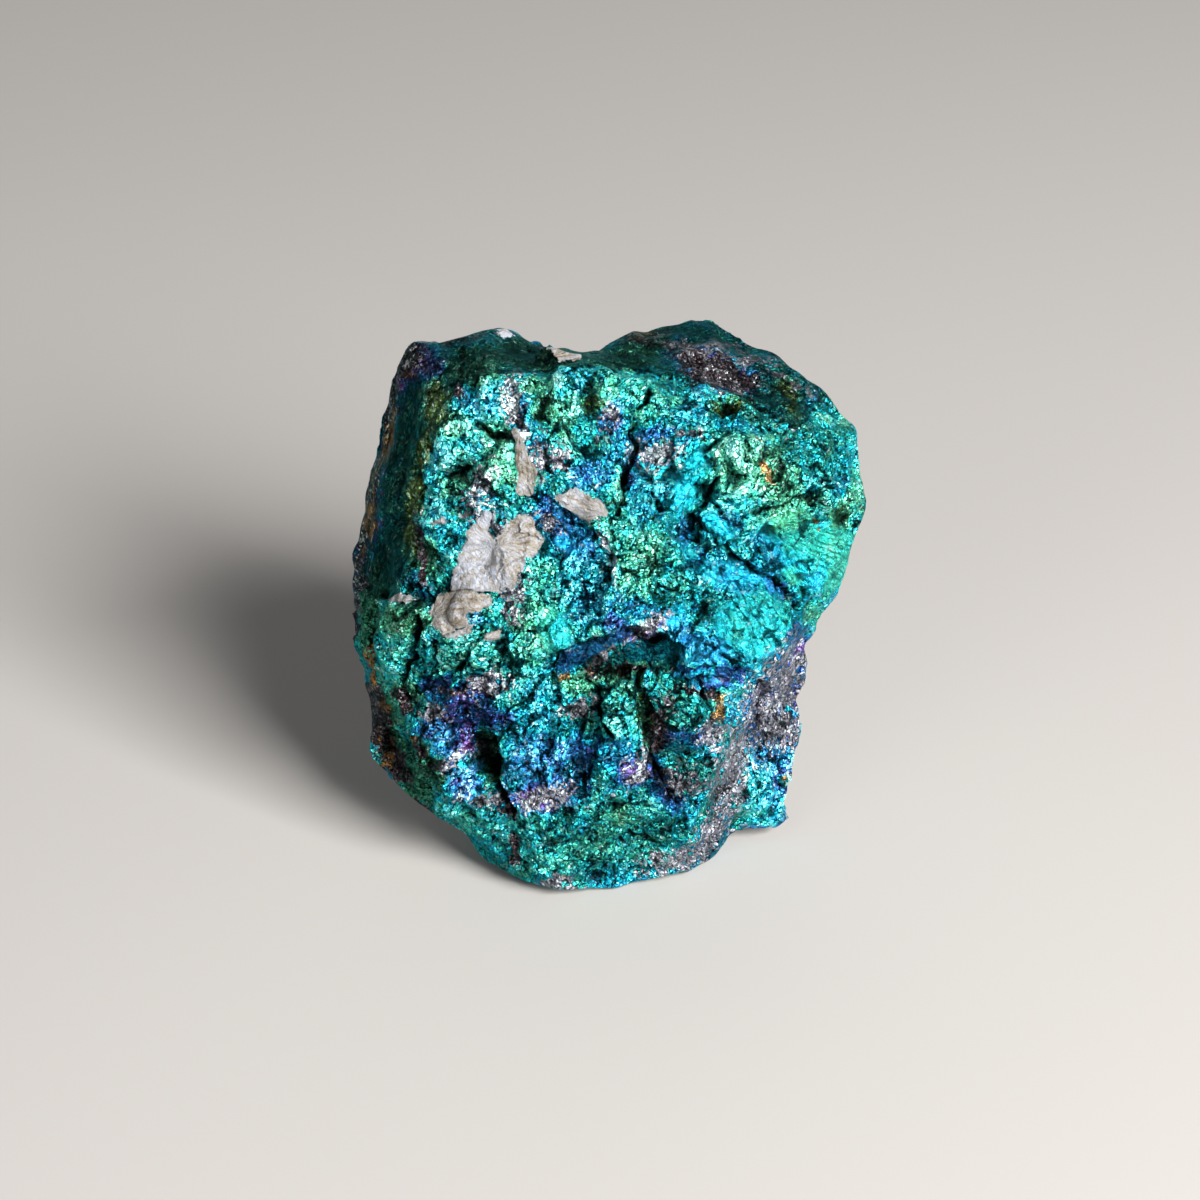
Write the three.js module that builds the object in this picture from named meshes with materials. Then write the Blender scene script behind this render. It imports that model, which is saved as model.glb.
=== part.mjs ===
// A lump of peacock ore, a copper and iron sulphide with a film of bright tarnish. One broken
// piece of rock in millimetres, +Z up, standing on a small flat of its own underside.
//
// The lump is described by the corners where its fracture faces meet. Seen from a heart inside
// the rock, every corner lies in a direction of its own, so the hull of those directions says
// which three corners each face joins. A fine ball is then drawn out to the faces, chips and
// grain are broken into it, its edges are worn a little, and its underside is ground flat.
import * as THREE from "three";
import { ConvexHull } from "three/addons/math/ConvexHull.js";
import { ImprovedNoise } from "three/addons/math/ImprovedNoise.js";
import { mergeVertices } from "three/addons/utils/BufferGeometryUtils.js";

// The broad broken face leans back from upright. Its corners are surveyed from a sighting point
// straight out from the middle of the face: [across to the right, up the face, out of the face],
// where across and up are read where the line of sight passes the plane of the face.
const LEAN_DEG = 28;
const FACE_MIDDLE = new THREE.Vector3(0.3, -5.6, 24.4);
const SIGHT_DISTANCE = 292;
const HEART_DEPTH = 7; // the heart lies this far into the rock behind the middle of the face

// The edge where the lump turns out of sight of its broken face, clockwise from the top left.
const RIM = {
  topLeftBlock: [[-18.7, 24.2, -2.5], [-16.2, 24.1, -2.5], [-13.6, 23.7, -2], [-9.8, 25.1, -3],
    [-6.9, 23.5, -3]],
  notch: [[-2.0, 21.8, -2], [-3.4, 21.0, -8]],
  rearHump: [[0.8, 23.7, -8], [5.0, 25.1, -9], [8.6, 25.4, -9], [11.1, 24.9, -8], [14.9, 22.9, -7]],
  rightShoulder: [[18.7, 19.8, -6], [22.2, 16.2, -5], [22.7, 12.6, -4.5], [23.1, 9.3, -3.5]],
  rightFlank: [[22.0, 6.8, -3], [20.6, 3.6, -2.5], [18.7, 0.2, -3]],
  rearFlank: [[18.5, -2.1, -9], [17.4, -5.2, -10], [16.9, -8.2, -11], [17.0, -11.8, -12]],
  foot: [[17.2, -17.6, -12.5], [15.9, -19.6, -11.5], [12.0, -19.9, -11.5], [11.3, -20.2, -10.5]],
  toe: [[9.4, -22.6, -6.5], [7.0, -24.0, -4.5], [2.8, -24.3, -3.5], [-1.6, -24.6, -3], [-4.8, -25.2, -2]],
  lowerLeft: [[-7.9, -24.2, -4], [-11.5, -21.9, -6.5], [-15.0, -19.1, -7], [-18.3, -16.2, -7.5]],
  leftKnob: [[-21.6, -13.1, -8], [-21.4, -9.6, -8], [-21.6, -6.5, -8]],
  leftWall: [[-22.6, -3.0, -8], [-22.4, 0.1, -8.5], [-22.6, 2.2, -9], [-21.8, 6.7, -9],
    [-21.6, 11.1, -9], [-20.6, 16.6, -8], [-19.5, 20.8, -5]],
};

// The broken face itself, from its top edge down.
const FACE = {
  topEdge: [[-12.9, 18.9, 5], [-8.6, 19.8, 6], [-3.3, 20.7, 5.5], [1.9, 20.4, 4.5], [7.2, 19.1, 4],
    [12.0, 18.1, 3], [16.8, 18.1, -0.5]],
  leftEdge: [[-14.9, 14.1, 4.5], [-16.5, 7.5, 3.5], [-17.8, 2.3, 2]],
  leftWallCrease: [[-18.2, 18.1, -2.5], [-19.6, 11.1, -3.5], [-20.7, 4.0, -4]],
  leftLobe: [[-19.8, -0.8, -1], [-20.2, -4.7, -2], [-18.2, -3.0, 2], [-16.9, -4.7, 0.5]],
  plateau: [[-9.5, 14.6, 7], [-4.2, 15.4, 7.5], [-13.9, 9.3, 5.5], [-7.7, 9.3, 6.5], [-1.6, 11.9, 7.5],
    [-12.1, 1.4, 5], [-6.0, 4.0, 5.5], [-0.7, 5.8, 6], [-2.9, 4.9, 4.8]],
  fissure: [[2.1, 16.3, 5], [1.2, 11.1, 4.8], [1.1, 8.4, 5]],
  middleRidge: [[3.2, 9.3, 7], [4.6, 5.8, 7.5], [4.4, 13.7, 6]],
  dome: [[10.7, 13.7, 6.5], [15.1, 11.9, 5.5], [18.6, 9.3, 3], [13.3, 7.5, 6.5], [8.1, 11.1, 5.5],
    [19.9, 14.6, 0.5], [16.0, 16.3, 2.5]],
  crease: [[7.2, 7.5, 4.2], [11.6, 3.2, 3.9], [16.0, 0.5, 2.0]],
  pyramid: [[8.1, 4.5, 7.5], [5.4, -1.2, 7], [16.0, -3.0, 3], [12.0, -5.6, 4.5]],
  ledgeLip: [[-4.2, -4.3, 6], [-0.7, -3.0, 7], [3.7, -2.3, 7], [7.2, -3.9, 6.8], [10.7, -5.8, 5]],
  ledgeFoot: [[-4.2, -5.6, 4], [0.2, -5.4, 4], [3.7, -5.8, 4], [8.1, -7.4, 3.5], [11.1, -7.4, 2.5]],
  lowerMass: [[-11.2, -3.0, 5], [-13.9, -8.2, 2], [-7.7, -8.2, 4], [-0.7, -8.2, 4.5], [4.6, -9.1, 4.5],
    [9.4, -10.0, 2.5], [-15.6, -12.6, -0.5], [-6.0, -13.5, 3], [-0.7, -15.3, 3], [4.6, -15.3, 2.5],
    [8.5, -16.1, 0.5]],
  pit: [[-10.8, -13.1, 0.5]],
  chin: [[-13.0, -17.0, -2], [-7.7, -18.8, 0], [-1.6, -20.5, 0], [3.7, -20.5, -0.5], [7.6, -19.6, -2],
    [-5.1, -23.4, -1], [1.1, -23.1, -1.5]],
  rightEdge: [[16.8, -1.7, -1.5], [14.6, -4.3, 0], [12.5, -7.4, -0.5], [11.4, -10.9, -2], [10.0, -16.1, -3.5],
    [8.5, -21.0, -6]],
  greyFlank: [[14.2, -10.0, -8], [13.8, -14.4, -11.5], [11.1, -17.0, -11]],
};

// The back and the underside, as plain [x, y, z] in the part's frame.
const BACK = {
  top: [[-12, 10.7, 33], [0, 12.7, 34], [10, 14.7, 34]],
  belly: [[-15, 10.7, 22], [-4, 14.2, 21], [8, 15.2, 23], [16, 10.7, 27]],
  heel: [[-14, 6.7, 10], [-3, 10.7, 9], [8, 10.7, 8], [14, 5.7, 9]],
};
const BASE_DROP = 0.8; // the underside is drawn past the table by this and ground off flat
const BASE = [[-5, 4], [1, 6], [7, 4], [-6.5, -2], [0, -2], [8, -3], [-4, -8], [3, -9]];

// The ball that is drawn out to the faces.
const BALL_DETAIL = 18;
const EVENING_PASSES = 12;
const EDGE_WEAR = 0.25;

// Chips: cells of the rock that broke off along small tilted planes, [cell size, tilt].
const CHIPS = [[6.5, 0.15], [3.4, 0.17]];
// Grain: smooth unevenness, [wavelength, height].
const GRAIN = [[9, 0.45], [4, 0.4], [2.2, 0.25]];

const lean = THREE.MathUtils.degToRad(LEAN_DEG);
const UP_FACE = new THREE.Vector3(0, Math.sin(lean), Math.cos(lean));
const OUT_OF_FACE = new THREE.Vector3(0, -Math.cos(lean), Math.sin(lean));
const heart = FACE_MIDDLE.clone().addScaledVector(OUT_OF_FACE, -HEART_DEPTH);

function onFace([across, up, out]) {
  const spread = 1 - out / SIGHT_DISTANCE;
  return FACE_MIDDLE.clone()
    .add(new THREE.Vector3(across * spread, 0, 0))
    .addScaledVector(UP_FACE, up * spread)
    .addScaledVector(OUT_OF_FACE, out);
}

function allCorners() {
  const faceCorners = [...Object.values(RIM), ...Object.values(FACE)].flat().map(onFace);
  const backCorners = Object.values(BACK).flat().map((p) => new THREE.Vector3(...p));
  const baseCorners = BASE.map(([x, y]) => new THREE.Vector3(x, y, -BASE_DROP));
  return [...faceCorners, ...backCorners, ...baseCorners].map((p) => p.sub(heart));
}

// Each fracture face as the matrix that turns a direction into shares of its three corners.
function fractureFaces(corners) {
  const cornerOf = new Map(corners.map((corner) => [corner.clone().normalize(), corner]));
  const hull = new ConvexHull().setFromPoints([...cornerOf.keys()]);
  return hull.faces.map(({ edge }) => {
    const [a, b, c] = [edge, edge.next, edge.next.next].map((e) => cornerOf.get(e.head().point));
    return new THREE.Matrix3().set(a.x, b.x, c.x, a.y, b.y, c.y, a.z, b.z, c.z).invert();
  });
}

// How far from the heart the surface lies in a direction.
function reach(direction, faces) {
  let best = -Infinity;
  let distance = 0;
  for (const face of faces) {
    const share = direction.clone().applyMatrix3(face);
    const least = Math.min(share.x, share.y, share.z);
    if (least > best) {
      best = least;
      distance = 1 / (share.x + share.y + share.z);
    }
  }
  return distance;
}

// A repeatable number from 0 to 1 for a whole-numbered cell.
function lot(x, y, z, which) {
  const mixed = Math.sin(x * 127.1 + y * 311.7 + z * 74.7 + which * 53.3) * 43758.5453;
  return mixed - Math.floor(mixed);
}

// The height of the tilted plane that the nearest cell broke along.
function chip(point, size, tilt) {
  const cell = point.clone().divideScalar(size);
  const home = cell.clone().floor();
  let nearest = Infinity;
  let height = 0;
  for (let i = -1; i <= 1; i++)
    for (let j = -1; j <= 1; j++)
      for (let k = -1; k <= 1; k++) {
        const [x, y, z] = [home.x + i, home.y + j, home.z + k];
        const seed = new THREE.Vector3(x + lot(x, y, z, 1), y + lot(x, y, z, 2), z + lot(x, y, z, 3));
        const away = cell.clone().sub(seed);
        if (away.lengthSq() < nearest) {
          nearest = away.lengthSq();
          const lie = new THREE.Vector3(lot(x, y, z, 4), lot(x, y, z, 5), lot(x, y, z, 6)).subScalar(0.5);
          height = away.dot(lie) * 2 * tilt * size;
        }
      }
  return height;
}

const perlin = new ImprovedNoise();

function roughness(point) {
  const chips = CHIPS.reduce((sum, [size, tilt]) => sum + chip(point, size, tilt), 0);
  const grain = GRAIN.reduce(
    (sum, [wave, height]) => sum + height * perlin.noise(point.x / wave, point.y / wave, point.z / wave),
    0,
  );
  return chips + grain;
}

// For each vertex, the vertices that share an edge with it.
function neighboursOf(geometry) {
  const found = Array.from({ length: geometry.attributes.position.count }, () => new Set());
  const index = geometry.index.array;
  for (let i = 0; i < index.length; i += 3)
    for (let k = 0; k < 3; k++) {
      found[index[i + k]].add(index[i + ((k + 1) % 3)]);
      found[index[i + k]].add(index[i + ((k + 2) % 3)]);
    }
  return found.map((set) => [...set]);
}

function meanOf(points, which) {
  const sum = new THREE.Vector3();
  which.forEach((i) => sum.add(points[i]));
  return sum.divideScalar(which.length);
}

function lumpGeometry() {
  const ball = new THREE.IcosahedronGeometry(1, BALL_DETAIL);
  ball.deleteAttribute("normal");
  ball.deleteAttribute("uv");
  const geometry = mergeVertices(ball, 1e-5);
  const neighbours = neighboursOf(geometry);
  const position = geometry.attributes.position;
  const faces = fractureFaces(allCorners());

  let points = neighbours.map((_, i) => {
    const direction = new THREE.Vector3().fromBufferAttribute(position, i).normalize();
    return direction.multiplyScalar(reach(direction, faces));
  });
  // Slide the vertices along the surface until they are evenly spaced.
  for (let pass = 0; pass < EVENING_PASSES; pass++)
    points = points.map((_, i) => {
      const direction = meanOf(points, neighbours[i]).normalize();
      return direction.multiplyScalar(reach(direction, faces));
    });
  // Break the chips and the grain into the surface, and wear the edges.
  points.forEach((point) => point.setLength(point.length() + roughness(point)));
  points = points.map((point, i) => point.clone().lerp(meanOf(points, neighbours[i]), EDGE_WEAR));
  points.forEach((point, i) => {
    // The underside is flat where it would pass through the table.
    if (point.z < -heart.z) point.multiplyScalar(heart.z / -point.z);
    point.add(heart);
    if (point.z < 1e-6) point.z = 0;
    position.setXYZ(i, point.x, point.y, point.z);
  });
  return geometry;
}

function oreMaterial() {
  return new THREE.MeshStandardMaterial({ color: 0x1f9c9a, roughness: 0.35, metalness: 0.9 });
}

const peacockOre = new THREE.Group();
const lump = new THREE.Mesh(lumpGeometry(), oreMaterial());
lump.name = "ore_lump";
peacockOre.add(lump);

export default peacockOre;
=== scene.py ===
import math

import bmesh
import bpy
import numpy as np
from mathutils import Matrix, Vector, noise


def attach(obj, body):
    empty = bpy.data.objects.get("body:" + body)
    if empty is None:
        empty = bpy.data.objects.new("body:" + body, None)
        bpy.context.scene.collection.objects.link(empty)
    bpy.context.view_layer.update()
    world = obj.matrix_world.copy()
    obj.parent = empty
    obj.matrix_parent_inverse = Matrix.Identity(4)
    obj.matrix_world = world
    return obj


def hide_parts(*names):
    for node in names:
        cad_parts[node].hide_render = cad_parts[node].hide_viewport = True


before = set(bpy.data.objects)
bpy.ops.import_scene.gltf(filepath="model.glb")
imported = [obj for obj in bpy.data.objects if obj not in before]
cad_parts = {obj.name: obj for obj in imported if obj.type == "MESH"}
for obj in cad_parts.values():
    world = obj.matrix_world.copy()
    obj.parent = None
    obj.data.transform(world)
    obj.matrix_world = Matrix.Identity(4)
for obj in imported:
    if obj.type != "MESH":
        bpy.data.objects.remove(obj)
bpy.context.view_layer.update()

# The lump's form. Peacock ore is a massive copper and iron sulphide that breaks with a hackly,
# granular fracture. The lump is one broken piece: the solid's broad fracture faces are cut finer
# here, and clumps, grains, cracks and pits are broken into them.
MM = 0.001
CUTS_PER_EDGE = 4
SOFTEN_PASSES = 4


def fine_stone(node):
    """The solid's own mesh in one skin, cut finer and with its coarse facets eased."""
    stone = bmesh.new()
    stone.from_mesh(node.data)
    bmesh.ops.remove_doubles(stone, verts=stone.verts, dist=0.002 * MM)
    bmesh.ops.subdivide_edges(stone, edges=stone.edges, cuts=CUTS_PER_EDGE, use_grid_fill=True)
    bmesh.ops.triangulate(stone, faces=stone.faces)
    for _ in range(SOFTEN_PASSES):
        bmesh.ops.smooth_vert(
            stone, verts=stone.verts, factor=0.5, use_axis_x=True, use_axis_y=True, use_axis_z=True
        )
    stone.normal_update()
    return stone


# The broad fracture face leans back by this much. Places on it are given in millimetres as
# (across to the right, up the face), from its middle, as they line up from straight in front.
LEAN = math.radians(28)
FACE_MIDDLE = Vector((0.3, -5.6, 24.4))
SIGHT_DISTANCE = 292.0
UP_FACE = Vector((0, math.sin(LEAN), math.cos(LEAN)))
OUT_OF_FACE = Vector((0, -math.cos(LEAN), math.sin(LEAN)))

stone = fine_stone(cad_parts["ore_lump"])
points = np.array([v.co for v in stone.verts]) / MM
normals = np.array([v.normal for v in stone.verts])
edges = np.array([(e.verts[0].index, e.verts[1].index) for e in stone.edges])


def on_face(places):
    """(across, up) on the broad face for places in the lump."""
    from_middle = places - np.array(FACE_MIDDLE)
    spread = 1 - from_middle @ np.array(OUT_OF_FACE) / SIGHT_DISTANCE
    return from_middle[:, 0] / spread, from_middle @ np.array(UP_FACE) / spread


def ramp(x, low, high):
    """0 below low, 1 above high and a smooth rise between."""
    t = np.clip((x - low) / (high - low), 0, 1)
    return t * t * (3 - 2 * t)


across, up = on_face(points)
to_front = np.array(FACE_MIDDLE) + SIGHT_DISTANCE * np.array(OUT_OF_FACE) - points
to_front /= np.linalg.norm(to_front, axis=1)[:, None]
# How far each place is turned to the front (1 is straight, 0 edge on), and from that what belongs
# to the broad face, how squarely it lies on it and what still shows from in front.
turned = np.sum(normals * to_front, axis=1)
in_front = ramp(turned, -0.05, 0.2)
facing = ramp(turned, 0.05, 0.65)
seen = ramp(turned, -0.4, -0.1)


def wave(length, octaves=1, shift=0.0, stretch=(1, 1, 1)):
    """Smooth noise from about -1 to 1 at every vertex, with bumps this many millimetres apart."""
    places = points / length / np.array(stretch) + shift
    return np.array([noise.fractal(Vector(p), 1.0, 2.0, octaves) for p in places])


def broken_cells(size, tilt, shift=0.0):
    """The height at every vertex of the tilted plane that its grain broke along, the middle of
    that grain and how far the vertex is from the grain's edge."""
    heights, middles, rims = np.empty(len(points)), np.empty((len(points), 3)), np.empty(len(points))
    for i, p in enumerate(points / size + shift):
        distances, seeds = noise.voronoi(Vector(p))
        lie = noise.cell_vector(seeds[0] * 97.0) - Vector((0.5, 0.5, 0.5))
        heights[i] = (Vector(p) - seeds[0]).dot(lie) * 2 * tilt * size
        middles[i] = seeds[0]
        rims[i] = (distances[1] - distances[0]) * size
    return heights, (middles - shift) * size, rims


def evened(values, passes):
    """Values at the vertices, averaged with their neighbours' again and again."""
    first, second = edges.T
    count = np.bincount(edges.ravel(), minlength=len(points))
    for _ in range(passes):
        total = np.bincount(first, values[second], len(points)) + np.bincount(
            second, values[first], len(points)
        )
        values = total / count
    return values


def along_line(knots, place):
    """The distance on the face from places to a line through the knots, above 0 to its left."""
    place = np.stack(place, axis=1)
    signed = np.full(len(place), 1e9)
    for a, b in zip(knots, knots[1:]):
        a, b = np.array(a), np.array(b)
        share = np.clip(((place - a) @ (b - a)) / ((b - a) @ (b - a)), 0, 1)
        away = place - a - share[:, None] * (b - a)
        distance = np.linalg.norm(away, axis=1)
        side = np.sign((b - a)[0] * (place - a)[:, 1] - (b - a)[1] * (place - a)[:, 0])
        signed = np.where(distance < np.abs(signed), distance * side, signed)
    return signed


def patch(place, x, y, half_width, half_height, turn, edge=0.35):
    """1 inside a patch of the face and 0 outside, with a soft edge."""
    turn = math.radians(turn)
    along = (place[0] - x) * math.cos(turn) + (place[1] - y) * math.sin(turn)
    aside = (place[1] - y) * math.cos(turn) - (place[0] - x) * math.sin(turn)
    return 1 - ramp(np.hypot(along / half_width, aside / half_height), 1 - edge, 1 + edge)


def inside_outline(place, corners):
    """The distance on the face into an outline, below 0 outside it."""
    x, y = place
    within = np.zeros(len(x), bool)
    for (x1, y1), (x2, y2) in zip(corners, corners[1:] + corners[:1]):
        if y1 != y2:
            within ^= ((y1 > y) != (y2 > y)) & (x < (x2 - x1) * (y - y1) / (y2 - y1) + x1)
    away = np.abs(along_line(corners + corners[:1], place))
    return np.where(within, away, -away)


# The planes that the broad face broke along: (across, up, height, rise to the right, rise upward).
BROKEN_PLANES = np.array([
    (-12.5, 18.0, 0.1, -0.20, -0.05), (-9.9, 18.4, 0.2, -0.25, 0.00), (-6.6, 19.2, 0.1, -0.10, 0.00),
    (-3.2, 18.6, 0.3, -0.20, 0.05), (1.0, 19.0, 0.4, -0.20, 0.00), (5.0, 18.4, 0.3, -0.25, -0.10),
    (8.0, 16.6, 0.2, -0.15, -0.05), (11.4, 16.0, -0.2, 0.05, -0.20), (15.5, 17.0, -0.4, 0.15, -0.35),
    (19.2, 15.4, -0.3, -0.15, -0.30), (-14.4, 13.8, 0.5, -0.25, 0.10), (-11.6, 14.8, 0.0, -0.25, 0.10),
    (-12.6, 12.0, -0.6, 0.15, 0.25), (-9.0, 11.6, 0.4, -0.25, 0.00), (-6.8, 13.6, 0.0, 0.20, 0.00),
    (-4.2, 13.2, 0.3, 0.00, 0.00), (-1.4, 15.0, -0.6, 0.10, 0.10), (0.6, 14.2, 0.3, -0.25, 0.00),
    (4.2, 15.2, 0.1, 0.10, 0.20), (4.2, 12.6, -0.7, 0.00, 0.10), (7.4, 13.4, 0.1, -0.35, 0.00),
    (16.6, 13.2, -0.2, 0.15, -0.15), (20.5, 13.0, -0.4, -0.20, -0.10), (-14.2, 9.4, 0.2, -0.15, 0.00),
    (-11.4, 9.6, 0.0, 0.20, 0.00), (-7.6, 8.6, 0.1, -0.15, 0.00), (-5.0, 10.2, 0.1, 0.15, 0.00),
    (-1.8, 10.8, -0.1, 0.15, 0.00), (0.4, 10.2, 0.7, -0.15, 0.00), (3.4, 9.4, -0.1, -0.10, 0.10),
    (6.4, 9.0, 0.3, -0.40, 0.10), (15.8, 8.6, 0.3, -0.15, -0.20), (13.0, 7.4, -0.3, -0.20, 0.20),
    (21.4, 9.6, 0.4, -0.25, 0.00), (-14.0, 5.8, 0.4, -0.25, 0.05), (-16.0, 4.4, -0.4, 0.20, 0.10),
    (-3.8, 6.8, -0.5, 0.15, 0.15), (-1.4, 4.4, -0.1, -0.20, 0.05), (1.2, 6.6, 0.4, -0.20, 0.00),
    (4.4, 5.8, 0.0, -0.30, 0.15), (9.9, 6.7, 0.1, -0.50, 0.40), (6.8, 4.8, -0.6, -0.20, 0.10),
    (16.0, 5.2, 0.4, -0.30, 0.15), (19.6, 3.4, 0.3, -0.40, 0.25), (2.8, 3.2, 0.5, -0.25, 0.05),
    (5.6, 1.8, -0.2, 0.25, 0.15), (11.2, 2.6, 0.6, -0.10, -0.30), (14.6, 0.9, 0.5, -0.45, -0.10),
    (-6.0, 2.0, 0.2, -0.15, 0.00), (-7.0, -0.8, 0.5, -0.20, 0.00), (-2.2, 0.8, 0.1, -0.05, 0.10),
    (12.8, -1.6, 1.0, -0.25, 0.15), (9.2, -1.8, 0.3, 0.20, 0.15), (5.7, -0.8, 0.5, -0.35, 0.10),
    (1.8, -0.6, 0.8, 0.00, 0.10), (-3.2, -2.0, 0.5, -0.20, 0.10), (-6.8, -4.0, 0.5, -0.25, 0.10),
    (-10.0, -4.8, 0.1, -0.15, 0.10), (-13.4, -3.8, 0.6, -0.20, 0.20), (-18.6, -4.4, 0.6, -0.15, 0.10),
    (-0.8, -3.9, -0.9, 0.10, 0.60), (3.8, -4.0, -0.7, 0.10, 0.50), (8.4, -4.4, 0.2, -0.20, 0.35),
    (-10.8, -7.6, 0.0, 0.10, -0.25), (-14.8, -9.4, 0.2, 0.10, -0.15), (-12.2, -10.4, -0.4, 0.25, -0.10),
    (-5.8, -8.0, 0.0, -0.20, -0.05), (-2.4, -7.0, 0.3, -0.25, -0.10), (-2.4, -10.4, -0.3, 0.15, 0.00),
    (1.4, -9.8, 0.6, -0.30, 0.00), (5.6, -9.0, -0.5, 0.25, 0.00), (8.6, -9.2, 0.2, -0.25, 0.00),
    (-12.6, -14.6, 0.6, -0.20, -0.10), (-6.4, -13.2, 0.4, -0.20, 0.00), (-2.8, -14.2, -0.4, 0.15, 0.00),
    (0.8, -13.6, 0.4, -0.20, 0.00), (5.8, -13.2, -0.4, 0.10, 0.10), (7.4, -16.0, 0.2, -0.15, 0.00),
    (-5.6, -17.0, 0.4, -0.15, -0.10), (-16.6, -14.4, -0.3, 0.35, 0.10), (-9.8, -19.0, 0.1, 0.15, 0.10),
    (-1.0, -18.6, 0.2, -0.20, 0.10), (3.0, -20.0, -0.2, 0.10, 0.20), (-4.6, -21.8, 0.0, -0.15, 0.20),
])
wavering = (across + 0.5 * wave(1.8, 3, 21.0), up + 0.5 * wave(1.8, 3, 31.0))
unevenness = np.clip(1 + 1.1 * wave(1.3, 2, 121.0), 0.2, 2)
from_middles = np.stack(wavering, axis=1)[:, None] - BROKEN_PLANES[None, :, :2]
nearness = np.linalg.norm(from_middles, axis=2)
shares = np.exp((nearness.min(axis=1, keepdims=True) - nearness) / 0.16)
plane_heights = BROKEN_PLANES[:, 2] + np.sum(from_middles * BROKEN_PLANES[:, 3:], axis=2)
two_nearest = np.sort(nearness, axis=1)[:, :2]
# Distances to seams and cracks are in millimetres or in half widths, and this one is out of reach.
FAR = 9.0
# Distance to the seams between the planes, which get painted shade.
seam = two_nearest[:, 1] - two_nearest[:, 0] + FAR * (1 - facing)
laid_planes = np.clip(np.sum(shares * plane_heights, axis=1) / np.sum(shares, axis=1), -1.3, 0.9)

# Slabs and plates broke off the back and the sides. Clumps and grains cover the whole lump, and
# stand out most in the lower part of the broad face.
slabs, _, _ = broken_cells(size=9.0, tilt=0.28, shift=4.4)
plates, _, plate_rims = broken_cells(size=4.6, tilt=0.24, shift=2.7)
clumps, _, clump_rims = broken_cells(size=1.7, tilt=0.28)
grains, grain_middles, _ = broken_cells(size=0.85, tilt=0.13, shift=5.3)
lumpy = (0.45 + 0.55 * facing) * (1 - 0.50 * facing * ramp(up + 0.3 * across, -8, -2))
lumpy += (0.6 - lumpy) * (1 - in_front)
lumpy *= 0.25 + 0.75 * ramp(np.abs(turned + 0.1), 0.1, 0.5)
height = plates * ramp(-turned, 0.15, 0.6) + slabs * ramp(-turned, 0.5, 0.9) + laid_planes * facing
height += clumps * lumpy + grains * (0.4 + 0.5 * ramp(np.abs(turned), 0, 0.4))
seam = np.minimum(seam, plate_rims * 0.5 + FAR * ramp(turned, -0.5, -0.3))
clump_rims *= 0.8 + 1.4 * ramp(wave(2.6, 2, 201.0), -0.3, 0.4)
seam = np.minimum(seam, clump_rims + FAR * (1 - facing))

# Knobs stand out of the face and pits go in: (across, up, half width, half height, turn, height).
KNOBS_AND_PITS = [
    (11.8, 11.9, 3.0, 3.0, 0, 1.1), (-5.3, 17.4, 1.6, 1.7, 0, -1.0), (-1.2, 18.1, 1.3, 1.2, 0, -0.6),
    (20.2, 7.9, 1.2, 1.1, 0, -0.9), (18.9, 16.5, 0.6, 0.5, 0, 0.5), (20.7, 16.1, 0.6, 0.6, 0, 0.5),
    (10.6, 17.8, 1.6, 0.6, 14, -0.9), (9.1, -0.5, 0.9, 0.8, 0, -0.5), (-5.3, -12.1, 0.7, 0.9, 20, -0.7),
    (-2.6, -14.0, 0.8, 1.2, 20, -0.8), (4.7, -11.8, 0.7, 1.4, 0, -0.9),
    (-10.6, -13.2, 1.3, 2.2, 20, -1.9), (-12.8, 7.9, 0.9, 0.7, 0, -0.5), (7.6, 9.2, 0.5, 0.9, 0, 0.3),
]
for *spot, proud in KNOBS_AND_PITS:
    height += proud * patch(wavering, *spot, edge=0.5) * facing

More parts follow.
